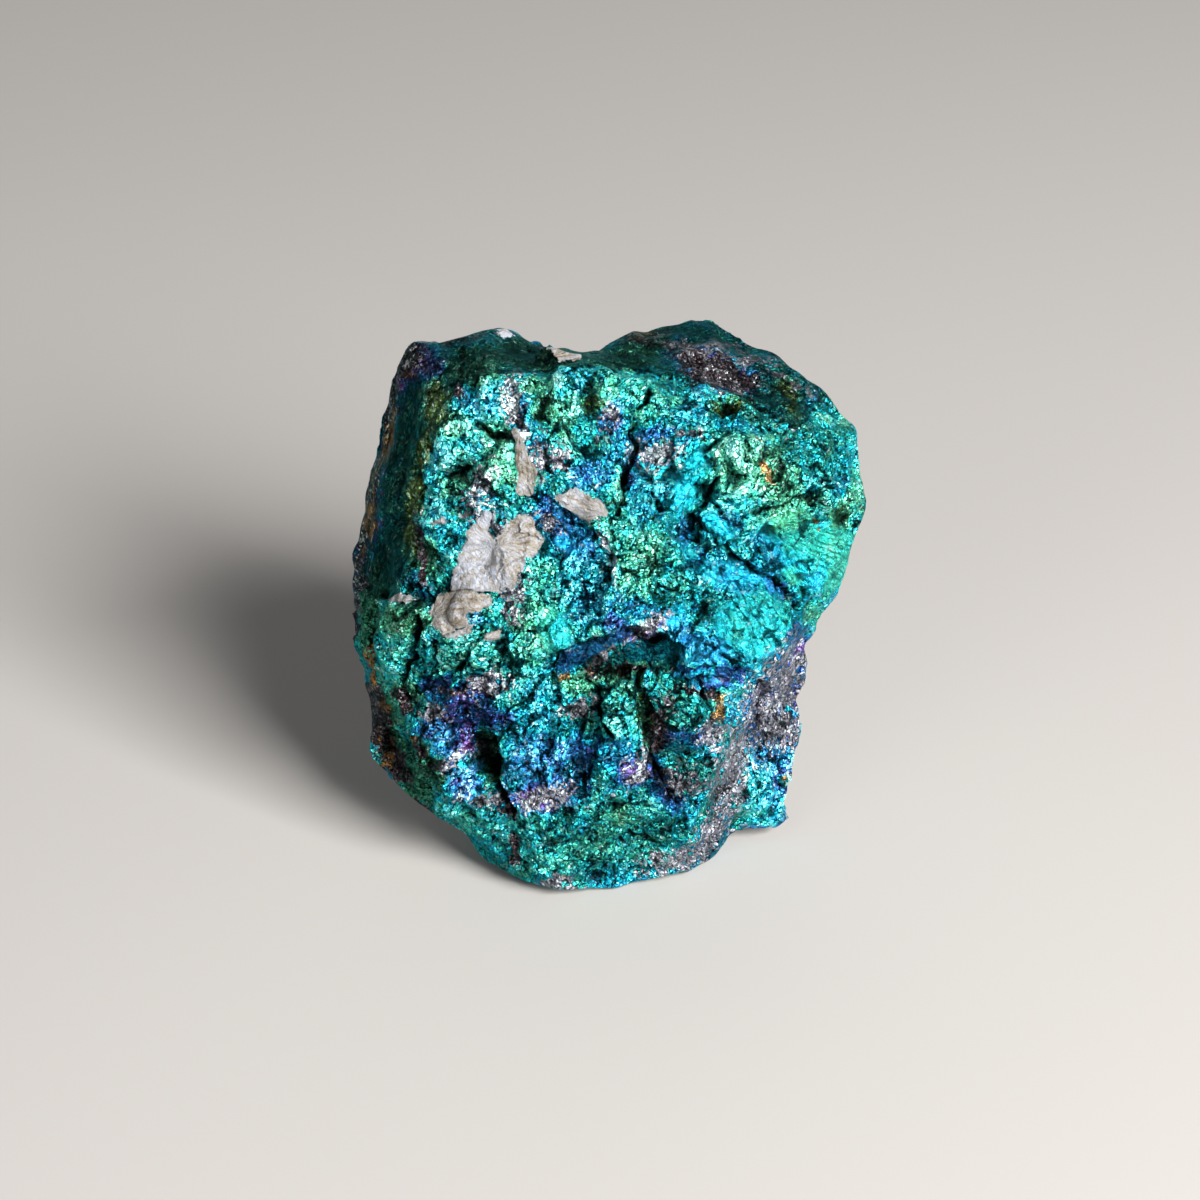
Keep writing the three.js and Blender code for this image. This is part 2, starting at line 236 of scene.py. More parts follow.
# Quartz grew through the ore in pale angular pieces: [share of brown stain, the place that its
# crystals spread from, corners...].
QUARTZ = {
    "upper fan": [
        0.3, (-0.6, 8.2), (-5.0, 9.7), (-2.8, 10.3), (-0.9, 9.3), (-0.4, 8.0), (-1.8, 7.3), (-3.5, 8.4),
    ],
    "fan": [
        0.5, (-9.5, 5.2), (-9.7, 5.3), (-8.9, 7.3), (-7.7, 8.1), (-6.5, 7.9), (-6.3, 6.7), (-5.5, 5.6),
        (-6.3, 4.4), (-7.4, 3.7), (-7.9, 1.8), (-9.2, 1.6), (-9.4, 4.2),
    ],
    "white": [
        0.0, (-10.0, 5.4), (-12.2, 6.6), (-10.9, 8.5), (-10.1, 8.2), (-10.5, 6.8), (-9.6, 5.4),
        (-9.1, 4.6), (-9.0, 2.6), (-8.8, 1.3), (-14.0, 1.3), (-13.4, 3.3), (-12.8, 4.9),
    ],
    "brown": [
        0.6, (-15.0, -0.6), (-15.5, -0.7), (-15.2, 0.7), (-13.7, 1.5), (-12.2, 1.5), (-10.3, 1.0),
        (-10.2, 0.1), (-12.0, -0.5), (-12.0, -1.4), (-14.0, -2.2), (-14.8, -1.7),
    ],
    "tail": [
        0.3, (-13.9, -2.2), (-14.1, -2.3), (-13.2, -1.9), (-11.5, -1.5), (-11.6, -2.2), (-13.2, -2.7),
    ],
    "left chip": [0.3, (-19.2, 0.4), (-19.2, 0.5), (-18.4, 1.2), (-17.0, 0.6), (-17.7, 0.1)],
    "low chip": [0.6, (-10.8, -3.2), (-10.9, -2.5), (-9.4, -1.8), (-9.5, -2.9), (-10.7, -3.1)],
    "vein": [
        0.7, (-7.6, 15.6), (-8.5, 15.4), (-7.8, 15.6), (-7.0, 13.6), (-6.2, 11.8), (-6.6, 9.8),
        (-8.0, 9.8), (-7.9, 12.0),
    ],
    "small": [0.2, (-14.2, 8.0), (-15.4, 7.3), (-14.2, 8.1), (-14.0, 7.4), (-15.0, 6.9)],
    "top chip": [0.1, (-9.0, 24.6), (-10.0, 24.4), (-9.0, 24.8), (-8.2, 23.7), (-9.2, 23.5)],
    "top strip": [
        0.8, (-6.9, 23.2), (-6.8, 23.4), (-4.6, 22.9), (-2.2, 22.3), (-2.4, 21.6), (-4.6, 21.4),
        (-4.8, 22.2),
    ],
}
jagged = (across + 0.22 * wave(0.8, 2, 151.0), up + 0.22 * wave(0.8, 2, 161.0))
quartz = 3 * (wave(7.0, 4, 111.0) - 0.56) - FAR * in_front
stain = 0.3 + 0.8 * wave(6.0, 2, 191.0)

# Smooth planes where the ore or the quartz split in fine lines that fan out from a point:
# (from across, from up, across, up, half width, half height, turn).
FANS = [
    (13.4, 7.4, 17.8, 4.8, 4.6, 3.4, -30), (4.0, 6.0, 11.4, 2.4, 3.9, 1.5, -15),
    (7.0, 5.0, 12.6, -1.6, 3.6, 3.0, 0), (14.0, 24.0, 6.9, 10.6, 1.4, 3.8, -25),
    (3.0, 12.0, 5.7, -0.8, 1.0, 1.5, -30), (-8.0, -3.0, -0.9, -3.9, 3.6, 1.0, 20),
    (3.0, 9.0, 9.9, 6.7, 2.3, 1.0, -35), (6.0, 8.0, 6.9, 4.7, 1.1, 1.0, 0),
    (6.0, 1.0, 8.6, -3.9, 2.6, 1.4, -20), (8.0, -12.0, -3.2, 5.6, 1.6, 1.2, 0),
    (1.0, 9.0, -4.6, -2.2, 1.4, 2.2, 0),
]
ORE_REACH, QUARTZ_REACH = 5.0, 1.5
flow_across, flow_along = 3 * wave(5.0, 1, 171.0), 3 * wave(5.0, 1, 181.0)
smooth = np.zeros(len(points))


def fan_out(here, x, y, reach):
    """Lays the fine lines to fan out from a point where here is 1."""
    swept, outward = np.arctan2(up - y, across - x) * reach, np.hypot(up - y, across - x)
    return flow_across + (swept - flow_across) * here, flow_along + (outward - flow_along) * here


for x, y, *spot in FANS:
    here = patch(jagged, *spot, edge=0.12) * in_front
    flow_across, flow_along = fan_out(here, x, y, ORE_REACH)
    smooth = np.maximum(smooth, here * 0.7)
height += (laid_planes * facing + 0.35 * grains - height) * smooth * 0.85
# Distance to the cracks, which get painted shade.
crack = np.full(len(points), FAR)
for share, (x, y), *corners in QUARTZ.values():
    within = inside_outline(jagged, corners)
    # A crack runs between two pieces that touch.
    between = np.abs(within - quartz) / 0.3 - FAR * np.minimum(np.maximum(within, quartz) + 0.1, 0)
    crack = np.minimum(crack, between + FAR * (1 - in_front))
    here = ramp(within, -0.12, 0.12) * in_front
    flow_across, flow_along = fan_out(here, x, y, QUARTZ_REACH)
    stain += (share - stain) * here
    quartz = np.maximum(quartz, within - FAR * (1 - in_front))
quartz_planes, _, _ = broken_cells(size=2.4, tilt=0.12, shift=9.1)
quartz_lie = evened(laid_planes * facing, passes=60)
height += (quartz_lie + quartz_planes + 0.5 * grains + 0.15 - height) * ramp(quartz, -0.15, 0.15)

# Film thicknesses by the colour that each gives, from the thinnest.
SILVER, GOLD, MAROON, MAGENTA, PURPLE = 0.0, 0.10, 0.16, 0.22, 0.28
VIOLET, BLUE, BRIGHT_BLUE, AZURE, SKY = 0.35, 0.39, 0.43, 0.48, 0.53
CYAN, TURQUOISE, TEAL, SEA, MINT = 0.58, 0.62, 0.66, 0.70, 0.76
GREEN, OLIVE, DEEP_OLIVE = 0.86, 0.97, 1.10

# Undercuts below the ledge: [film, shine, depth, rise upward, corners...]. Their planes are
# smooth and glossy, and their low shine is painted shadow from the overhanging ledge. The rise
# is counted from this height on the face.
UNDERCUT_LEVEL = -4.5
UNDERCUTS = [
    [
        BRIGHT_BLUE, 0.26, -0.7, -0.35, (-4.6, -5.7), (-4.2, -4.3), (-3.0, -3.3), (-1.1, -3.1),
        (0.8, -2.4), (2.7, -2.1), (2.7, -2.8), (1.8, -3.3), (0.1, -4.3), (-2.0, -5.3), (-4.2, -5.8),
    ],
    [
        CYAN, 0.12, -0.8, -0.25, (0.6, -4.5), (3.2, -3.3), (4.4, -2.5), (6.3, -3.5), (6.3, -5.4),
        (4.6, -6.0), (2.5, -5.7), (0.6, -5.3),
    ],
    [
        BLUE, 0.36, -0.7, -0.15, (6.3, -5.5), (8.9, -5.6), (11.3, -5.8), (12.1, -6.4), (10.5, -7.3),
        (7.0, -7.3), (5.6, -6.3),
    ],
]
undercuts = []
for film, share, depth, rise, *corners in UNDERCUTS:
    here = ramp(inside_outline(jagged, corners), -0.12, 0.12) * in_front
    height += (depth + rise * (up - UNDERCUT_LEVEL) - height) * here
    smooth = np.maximum(smooth, here)
    undercuts.append((here, film, share))

# Cracks, creases and grooves: [half width, depth, rise of the left side, (across, up), ...].
RISE_FADES_OVER = 1.2
CRACKS = {
    "fissure": [
        0.196, 0.88, -0.27, (4.0, 19.6), (3.2, 18.2), (2.4, 16.6), (1.9, 14.6), (1.7, 12.6),
        (1.3, 10.2),
    ],
    "dome crease": [0.28, 0.64, 0.36, (10.2, 15.0), (8.7, 13.6), (9.8, 11.2), (8.9, 10.2)],
    "upper vee": [0.245, 0.72, 0.27, (7.7, 10.4), (9.2, 9.3), (10.2, 8.3)],
    "lower vee": [
        0.266, 0.8, 0.45, (7.4, 7.9), (9.1, 6.3), (11.0, 4.4), (12.8, 3.6), (15.1, 1.9), (16.8, 0.4),
    ],
    "fan crest": [0.21, 0.4, 0.36, (12.0, 8.0), (14.7, 8.9), (17.7, 10.3), (20.4, 10.5)],
    "ledge": [
        0.21, 0.56, 0.45, (-4.7, -5.4), (-4.2, -4.1), (-3.0, -3.1), (-1.1, -2.9), (0.8, -2.3),
        (2.8, -1.9),
    ],
    "ledge right": [0.21, 0.56, 0.27, (1.8, -3.6), (3.2, -3.1), (4.4, -2.3), (6.4, -3.4), (6.6, -5.0)],
    "band line": [0.14, 0.24, 0.0, (6.6, -6.6), (8.9, -6.6), (11.0, -6.9)],
    "band": [0.175, 0.48, 0.27, (6.4, -5.3), (8.9, -5.4), (11.3, -5.6), (12.6, -6.2)],
    "pyramid foot": [0.175, 0.32, 0.18, (7.0, -2.6), (9.3, -3.7), (11.2, -4.9), (12.9, -6.0)],
    "short slit": [0.21, 0.72, 0.09, (8.3, 0.1), (8.3, -1.5)],
    "beside left lobe": [0.35, 1.28, 0.0, (-16.4, -1.4), (-17.2, -4.4), (-18.4, -8.0)],
    "left fold": [0.245, 0.72, 0.27, (-15.0, -2.6), (-14.7, -6.2)],
    "below quartz": [0.245, 0.8, 0.27, (-11.0, -2.4), (-12.1, -4.0), (-13.0, -5.2), (-13.6, -6.4)],
    "pit tail": [0.315, 1.04, 0.0, (-10.4, -14.4), (-9.2, -16.4), (-8.0, -17.8)],
    "low fissure": [0.28, 1.04, 0.27, (-1.4, -6.6), (-0.9, -8.4), (0.3, -11.0)],
    "low groove": [0.315, 1.12, -0.27, (2.6, -6.4), (3.2, -9.0), (3.6, -12.6), (5.2, -16.6)],
    "low right": [0.21, 0.64, 0.36, (7.2, -6.6), (9.2, -8.6), (9.4, -11.4)],
    "cyan slit": [0.21, 0.56, 0.0, (12.0, -6.4), (11.4, -8.6), (10.4, -10.6)],
    "upper left": [0.28, 0.8, -0.27, (-11.4, 15.8), (-10.0, 14.8), (-8.6, 14.2)],
    "mid left": [0.245, 0.64, 0.27, (-14.6, 11.2), (-12.4, 12.6)],
    "mid left two": [0.245, 0.64, -0.27, (-14.4, 11.0), (-13.0, 9.4)],
    "beside dimple": [0.21, 0.48, -0.18, (-3.9, 18.6), (-3.6, 16.6), (-5.8, 14.0), (-5.2, 11.6)],
    "pillar": [0.245, 0.72, 0.0, (1.3, 11.6), (1.4, 9.2), (0.8, 7.8)],
    "slant": [0.175, 0.4, 0.18, (4.0, 10.6), (4.6, 8.6), (5.0, 6.4)],
}
for half_width, depth, rise, *knots in CRACKS.values():
    signed = along_line(knots, wavering)
    widths_away = np.abs(signed) / (half_width * unevenness)
    crack = np.minimum(crack, widths_away + FAR * (1 - facing))
    height -= depth * np.exp(-(widths_away**2)) * facing
    height += rise * np.sign(signed) * np.exp(-np.abs(signed) / RISE_FADES_OVER) * facing

# Beyond these two edges, down the left wall and over the top, the rock split along its layers,
# in long smooth streaks. Each line is walked with the layered side on its left.
LEFT_EDGE = [
    (-17.9, 0.6), (-17.2, 4.0), (-16.3, 8.6), (-15.5, 13.3), (-13.8, 17.0), (-12.8, 19.6),
    (-12.6, 24.0),
]
TOP_EDGE = [
    (25.0, 18.0), (20.0, 18.6), (18.0, 17.0), (16.8, 15.6), (14.4, 16.6), (13.0, 18.2), (8.0, 19.6),
    (2.0, 20.8), (-3.3, 21.0), (-8.6, 20.2), (-12.5, 19.6), (-16.0, 18.6),
]
left_wall = ramp(along_line(LEFT_EDGE, wavering), -0.1, 0.3) * ramp(up, -1, 2.5)
top_wall = ramp(-along_line(TOP_EDGE, wavering), -0.1, 0.3)
layered = np.maximum(left_wall, top_wall) * ramp(turned, -0.75, -0.4)
# The brown spot on the hump is grainy.
layered *= 1 - 0.8 * patch(wavering, 9.8, 20.9, 3.8, 1.4, -18, edge=0.5)
streaks = 0.3 * wave(0.9, 2, 41.0, (1, 1, 7)) * left_wall + 0.2 * wave(1.4, 3, 45.0) * top_wall
height = height * (1 - 0.6 * layered) + streaks * in_front
for line, wall, length in ((LEFT_EDGE, left_wall, up), (TOP_EDGE, top_wall, across)):
    distance = np.abs(along_line(line, wavering))
    crack = np.minimum(crack, distance / 0.22 + FAR * (1 - in_front) + FAR * (up < 0))
    flow_across += (0.8 * distance - flow_across) * wall
    flow_along += (0.25 * length - flow_along) * wall

# The grains stand out less along the sharpest stretches of the rim.
CALM_RIMS = [
    (10.2, 24.6, 4.6, 2.6, 0), (-20.8, 15.0, 2.4, 4.6, -12), (-22.2, 6.0, 1.6, 5.0, -6),
    (-14.0, 24.4, 4.2, 1.6, 0), (-21.0, -8.0, 1.6, 3.0, 0),
]
for spot in CALM_RIMS:
    height *= 1 - 0.8 * patch((across, up), *spot, edge=0.4) * (1 - ramp(turned, 0.4, 0.8))

# Shallow hollows all round the rim of the face: (across, up, half width, half height, turn, depth).
RIM_HOLLOWS = [
    (-21.2, 15.2, 1.8, 2.6, -10, 0.8), (-14.4, 24.4, 3.4, 1.4, 0, 0.7), (-22.6, -2.4, 1.4, 4.4, 0, 0.5),
    (11.6, 24.4, 2.2, 1.8, -35, 0.5),
]
for *spot, depth in RIM_HOLLOWS:
    height -= depth * patch((across, up), *spot, edge=0.6) * (1 - ramp(turned, 0.5, 0.9))

# Thin hackly crevices, with painted shade in them, wander over the front and the back.
broad = np.maximum(facing, ramp(-turned, 0.15, 0.5))
for shift in (301.0, 311.0, 321.0):
    fold = wave(3.2, 2, shift) / 0.45 + FAR * (1 - broad) + FAR * (quartz > -0.1)
    broken = 6 * ramp(wave(2.3, 1, shift + 3), 0.0, -0.15)
    crack = np.minimum(crack, np.abs(fold) * 6 + broken + FAR * (smooth + layered))
    height += 0.12 * np.sign(fold) * broad * (1 - ramp(np.abs(fold), 0, 0.5)) * (quartz < 0)

# The underside stays flat where the lump stands.
height *= ramp(points[:, 2], 0.05, 1.6)
points += normals * height[:, None]
points[:, 2] = np.maximum(points[:, 2], 0)
for vertex, place in zip(stone.verts, points):
    vertex.co = Vector(place) * MM


# The film. Tarnish only some light waves thick covers the ore, and its thickness gives the
# colour: silver and gold where it is thinnest, then purple, blue, turquoise, green and olive.
# Where it is missing the ore is grey. Quartz takes no film.

# Patches of film: (across, up, half width, half height, turn, film, shine), placed as they line up
# from straight in front. The shine multiplies the brightness: partly the film's own lustre and
# partly painted light and shade.
FILM_PATCHES = [
    # The upper left.
    (-10.8, 17.6, 2.5, 2.2, 0, CYAN, 1.7), (-9.6, 15.0, 2.0, 1.4, 0, MINT, 1.5),
    (-14.4, 13.4, 1.3, 1.9, 0, CYAN, 2.0), (-8.4, 17.6, 0.9, 2.6, 0, CYAN, 1.8),
    (-11.0, 9.0, 1.8, 1.8, 0, CYAN, 1.5), (-12.9, 15.8, 1.2, 1.2, 0, MINT, 1.6),
    (-12.6, 12.0, 1.9, 0.8, 25, TEAL, 0.6), (-9.2, 12.6, 1.6, 1.9, 0, MINT, 1.9),
    (-13.8, 10.6, 1.0, 1.2, 0, MINT, 1.6), (-13.2, 9.6, 0.9, 0.5, -45, TEAL, 0.6),
    (-14.8, 8.2, 0.7, 2.4, 0, CYAN, 1.6), (-13.4, 6.0, 1.5, 2.0, 0, CYAN, 1.3),
    (-16.2, 4.2, 1.3, 1.8, 0, GREEN, 0.4), (-9.8, 14.9, 1.4, 0.4, -28, GREEN, 0.3),
    (-12.7, 8.4, 1.1, 0.8, 0, TEAL, 0.8), (-7.6, 16.6, 0.8, 2.2, 0, AZURE, 1.5),
    (-5.3, 17.4, 1.4, 1.5, 0, GREEN, 0.35), (-5.8, 19.4, 2.0, 0.7, 0, MINT, 1.3),
    (-3.4, 16.4, 0.9, 2.6, 0, MINT, 1.2), (-1.2, 18.1, 1.1, 1.1, 0, OLIVE, 0.5),
    (-4.4, 12.6, 1.3, 1.3, 0, CYAN, 1.2), (-1.4, 14.9, 1.4, 2.0, 0, TEAL, 0.6),
    (0.2, 16.4, 0.9, 1.6, 0, BLUE, 0.9), (-1.6, 11.6, 1.6, 1.3, 0, AZURE, 1.0),
    (-5.4, 8.6, 1.0, 1.6, 30, BLUE, 0.9), (-4.0, 7.2, 2.4, 1.2, -20, BLUE, 0.9),
    (-3.2, 5.2, 2.8, 1.6, 0, AZURE, 1.0), (-5.8, 2.8, 1.7, 1.8, 0, SEA, 1.1),
    (-1.8, 2.4, 2.6, 1.8, 0, CYAN, 1.4), (0.4, 1.6, 1.5, 2.0, 0, CYAN, 1.6),
    (-0.4, 7.0, 0.9, 2.2, 0, TEAL, 1.2),
    # The upper right.
    (0.8, 19.3, 2.6, 1.1, 0, SEA, 1.3), (4.8, 18.0, 2.8, 1.1, 0, TEAL, 1.4),
    (8.2, 16.6, 2.8, 0.9, -10, CYAN, 1.2), (3.9, 15.1, 2.2, 0.5, 8, BLUE, 0.9),
    (2.8, 16.6, 1.5, 0.8, 0, TEAL, 1.1), (3.8, 10.0, 2.4, 2.4, 0, CYAN, 1.3),
    (1.8, 11.6, 0.6, 1.6, 0, BLUE, 0.6), (0.5, 10.4, 0.8, 1.9, 0, MINT, 1.6),
    (6.8, 10.8, 1.3, 3.6, -25, CYAN, 1.0), (2.9, 3.8, 2.0, 2.8, 10, SEA, 1.6),
    (1.0, 7.0, 1.2, 2.0, 0, TEAL, 1.2), (5.2, 2.2, 1.3, 1.6, 0, TEAL, 0.8),
    (11.8, 11.8, 2.8, 2.8, 0, MINT, 1.6), (15.2, 12.2, 1.9, 2.6, 0, GREEN, 0.8),
    (18.4, 13.2, 3.0, 2.0, 0, TEAL, 0.55), (18.9, 16.5, 0.7, 0.6, 0, MINT, 2.0),
    (20.7, 16.1, 0.7, 0.6, 0, MINT, 1.8), (19.8, 14.6, 1.8, 1.4, 0, TEAL, 0.65),
    (14.6, 16.6, 4.6, 1.5, -20, TEAL, 0.5), (16.0, 18.6, 0.9, 2.2, 10, OLIVE, 0.4),
    (10.5, 17.8, 1.6, 0.5, 14, OLIVE, 0.3), (15.4, 8.4, 3.2, 1.4, 20, MINT, 1.2),
    (11.6, 8.8, 2.4, 0.8, 0, TEAL, 1.0), (17.8, 5.8, 2.8, 1.9, -20, SEA, 0.9),
    (21.4, 9.6, 1.2, 1.3, 0, MINT, 1.4), (20.2, 7.9, 1.0, 0.9, 0, GREEN, 0.4),
    (19.9, 2.9, 1.2, 2.1, -35, SEA, 1.0), (9.9, 6.7, 2.2, 0.9, -35, CYAN, 1.3),
    (6.9, 4.7, 1.0, 0.9, 0, CYAN, 1.4), (8.5, 4.3, 0.5, 0.6, 0, PURPLE, 1.1),
    (6.6, 6.6, 0.8, 1.3, 0, AZURE, 1.1), (11.2, 2.6, 3.6, 1.8, -15, SKY, 1.2),
    (14.8, 1.7, 1.7, 0.8, -30, BLUE, 0.8), (12.8, -1.6, 3.3, 2.8, 0, TURQUOISE, 1.05),
    (9.0, -1.4, 1.3, 1.8, 0, CYAN, 1.0), (5.7, -0.7, 0.9, 1.4, -30, CYAN, 1.0),
    (2.8, -0.2, 2.0, 0.8, -25, AZURE, 0.9), (8.4, -3.7, 2.6, 1.4, -20, AZURE, 1.5),
    (9.8, -5.0, 1.6, 0.5, -25, AZURE, 1.7), (11.6, -5.9, 1.4, 0.6, -20, BLUE, 0.6),
    # The ledge and what lies to its left.
    (3.3, -2.4, 2.0, 0.55, 38, PURPLE, 0.9), (8.4, -6.2, 1.7, 0.25, -4, CYAN, 1.2),
    (9.2, -7.0, 1.6, 0.22, -8, AZURE, 0.9), (-0.9, -1.2, 2.2, 1.3, 0, CYAN, 1.2),
    (0.8, -1.8, 1.3, 0.8, 0, BLUE, 1.0), (-3.6, -2.8, 1.6, 1.2, 0, TEAL, 0.9),
    (-6.6, -0.6, 1.6, 1.5, 0, SEA, 1.3), (-6.8, -3.9, 1.3, 1.8, 0, SEA, 1.4),
    (-13.0, -3.6, 2.0, 1.8, 0, SEA, 2.2), (-11.4, -1.0, 1.1, 0.7, 0, AZURE, 1.5),
    (-9.4, -4.8, 1.9, 1.5, 0, TEAL, 1.2), (0.4, -6.1, 4.6, 0.5, 6, GREEN, 0.35),
    (-17.4, -1.1, 2.3, 1.2, 0, GREEN, 0.7), (-18.7, -4.8, 1.3, 2.0, 0, TEAL, 1.7),
    (-17.8, -7.6, 1.1, 0.9, 0, GREEN, 0.4), (-15.2, -7.0, 1.5, 0.8, 0, BLUE, 0.9),
    # The dark lower part.
    (-12.4, -9.4, 3.0, 1.5, -15, VIOLET, 0.7), (-15.4, -10.7, 1.6, 1.0, 0, BLUE, 0.9),
    (-9.4, -9.8, 1.6, 0.8, 0, BLUE, 0.8), (-7.6, -6.8, 2.6, 1.7, 0, TURQUOISE, 2.0),
    (-5.6, -9.2, 2.1, 1.4, -20, CYAN, 1.9), (-11.6, -7.4, 1.8, 0.9, 10, VIOLET, 1.2),
    (-12.8, -12.0, 1.3, 1.4, -40, MAGENTA, 2.6), (-14.3, -12.0, 0.9, 1.2, 0, AZURE, 1.4),
    (-12.4, -15.2, 1.5, 1.2, 0, BLUE, 1.8), (-9.2, -14.8, 0.7, 1.0, 0, PURPLE, 1.3),
    (-10.4, -13.6, 1.2, 2.3, 20, GREEN, 0.12), (-9.0, -16.4, 0.5, 1.0, 40, BLUE, 0.2),
    (-6.2, -13.4, 2.9, 2.0, 0, BRIGHT_BLUE, 2.3), (-5.6, -16.6, 3.0, 1.3, 0, PURPLE, 1.6),
    (-2.0, -12.0, 1.6, 1.0, 0, BLUE, 0.9), (-2.3, -14.8, 1.1, 2.0, 10, AZURE, 0.3),
    (-15.2, -14.2, 1.0, 2.2, 30, GREEN, 0.25), (-2.4, -6.9, 1.3, 1.1, 0, MINT, 1.4),
    (-2.2, -10.0, 0.8, 1.8, 20, TEAL, 0.4), (1.5, -9.6, 1.4, 2.2, 10, TEAL, 1.8),
    (3.4, -10.0, 0.6, 3.4, 8, OLIVE, 0.3), (6.0, -9.2, 2.4, 2.8, 0, TEAL, 0.75),
    (6.6, -12.2, 2.0, 1.2, 0, BLUE, 0.6), (7.2, -14.2, 2.4, 2.0, -20, TEAL, 0.4),
    (0.6, -13.0, 1.8, 1.4, 0, AZURE, 0.8), (2.4, -14.6, 1.4, 1.3, 0, PURPLE, 1.8),
    (3.8, -17.0, 1.1, 1.8, 30, TEAL, 1.9), (4.8, -15.6, 1.0, 2.2, 25, BLUE, 0.35),
    (-19.6, -10.4, 1.2, 3.0, 5, GREEN, 0.4), (-17.6, -15.0, 1.4, 3.6, 32, GREEN, 0.3),
    (-14.4, -19.4, 1.1, 2.6, 45, TEAL, 0.3), (-11.0, -19.2, 4.4, 1.5, -30, TURQUOISE, 1.2),
    (-5.8, -20.2, 3.8, 2.0, -10, TURQUOISE, 1.1), (0.8, -21.4, 4.4, 2.0, 0, TEAL, 1.0),
    (-4.0, -22.6, 2.6, 1.1, 0, TEAL, 1.4), (2.4, -22.0, 2.4, 1.0, 0, TEAL, 1.3),
    (-12.2, -18.6, 2.0, 1.0, -30, TEAL, 1.5), (4.8, -19.4, 2.2, 1.5, 0, TEAL, 0.5),
    # The flank and the foot at the right.
    (15.0, -8.6, 2.6, 4.6, -15, BLUE, 0.55), (17.0, -3.8, 0.9, 1.4, -25, PURPLE, 0.8),
    (16.6, -2.2, 0.9, 0.8, 0, BLUE, 0.6), (12.8, -7.2, 0.5, 1.4, -10, CYAN, 1.3),
    (10.9, -8.2, 0.4, 1.6, -15, CYAN, 1.2), (14.6, -13.8, 2.2, 1.2, 0, AZURE, 2.1),
    (13.8, -16.7, 1.8, 2.2, 0, CYAN, 2.0), (15.9, -15.8, 0.8, 1.8, 0, BLUE, 1.5),
    (9.2, -20.4, 0.8, 2.2, -35, AZURE, 0.8),
    # The top and the left wall.
    (-15.6, 21.0, 1.0, 1.6, 0, BLUE, 2.6), (-11.8, 21.0, 2.2, 1.6, 0, GREEN, 0.8),
    (-6.6, 21.9, 4.0, 1.2, -5, GREEN, 0.5), (1.6, 21.6, 3.0, 0.9, 0, GREEN, 0.6),
    (4.6, 23.2, 2.6, 0.9, 0, GREEN, 0.4), (8.0, 23.8, 4.0, 0.7, -10, TEAL, 0.4),
    (6.2, 23.4, 1.2, 0.5, 20, BLUE, 0.9), (-18.6, 9.0, 1.2, 11.0, -8, TEAL, 0.7),
    (-20.0, 14.0, 0.8, 3.0, -8, GREEN, 0.5), (-14.9, 17.8, 1.1, 2.1, 0, DEEP_OLIVE, 5.5),
    (-15.9, 13.6, 0.6, 2.2, -12, DEEP_OLIVE, 4.0), (-16.8, 9.6, 0.7, 2.1, -8, DEEP_OLIVE, 4.5),
    (-17.5, 6.2, 0.6, 1.8, 0, DEEP_OLIVE, 3.5), (-19.2, 17.0, 0.9, 4.0, -12, MAROON, 4.0),
    (-20.9, 9.0, 0.8, 7.0, -10, MAROON, 4.0), (-17.8, 22.0, 1.8, 2.2, 0, MAROON, 3.0),
    (9.6, 20.9, 4.0, 1.4, -17, MAROON, 0.6), (9.8, 23.1, 2.4, 0.3, 10, PURPLE, 1.2),
    (12.6, 22.0, 1.8, 0.25, -20, AZURE, 1.4), (16.2, 20.0, 2.6, 0.3, -38, AZURE, 3.5),
    (-20.6, 0.0, 0.8, 4.0, 0, GREEN, 0.5), (15.2, 19.0, 2.2, 2.6, 20, TEAL, 0.6),
    (16.0, 18.8, 0.7, 1.7, 12, DEEP_OLIVE, 1.3),
]
# Patches where the ore is brown, gold or bare: (across, up, half width, half height, turn).
BROWN_PATCHES = [
    (-17.8, 22.0, 1.8, 2.2, 0), (-14.0, 24.0, 4.0, 0.6, 0), (-19.2, 17.0, 0.9, 4.0, -12),
    (-20.9, 9.0, 0.8, 7.0, -10), (-22.0, 1.0, 0.7, 5.0, -3), (-20.3, -9.6, 1.0, 3.6, 5),
    (-18.9, -14.0, 0.8, 2.8, 30), (-18.0, -8.4, 0.5, 1.6, 20), (-16.6, -12.4, 0.5, 2.0, 35),
    (-15.6, -18.6, 0.5, 2.0, 45), (-13.2, 18.9, 0.5, 0.7, 0), (9.6, 20.9, 4.5, 1.6, -17),
    (3.0, 23.6, 2.4, 0.6, 15), (-16.6, 3.4, 0.4, 2.4, 0), (1.8, -5.9, 3.6, 0.4, -3),
    (7.8, -7.6, 2.6, 0.35, -8), (9.7, -9.0, 0.6, 1.5, 10), (-13.6, -7.6, 1.6, 0.5, -10),
    (-8.6, -17.6, 0.5, 1.3, 40), (4.6, -11.0, 1.2, 2.4, 0), (-8.0, -21.2, 0.7, 1.4, 10),
]
GOLD_PATCHES = [
    (-4.0, -6.2, 0.9, 0.4, 10), (-1.8, -5.8, 0.5, 0.25, 10), (1.3, -5.8, 0.5, 0.25, -5),
    (3.9, -6.2, 0.7, 0.2, -12), (9.9, -8.9, 0.5, 1.3, 15), (13.7, 12.3, 0.3, 1.6, 25),
    (12.8, 14.2, 0.7, 0.25, -30), (-19.3, 15.0, 0.35, 3.4, -12), (-20.8, 8.0, 0.35, 5.0, -10),
    (-17.4, 20.4, 0.3, 0.8, 0), (-20.4, -5.0, 0.3, 2.4, -8), (-19.9, -12.5, 0.25, 2.0, 10),
    (-19.6, -8.6, 0.3, 0.9, 0), (-17.4, -11.6, 0.25, 0.8, 30), (-4.0, -24.0, 0.6, 0.25, 0),
    (3.8, 23.9, 2.0, 0.4, 10), (18.2, 7.2, 0.5, 0.3, 0),
]
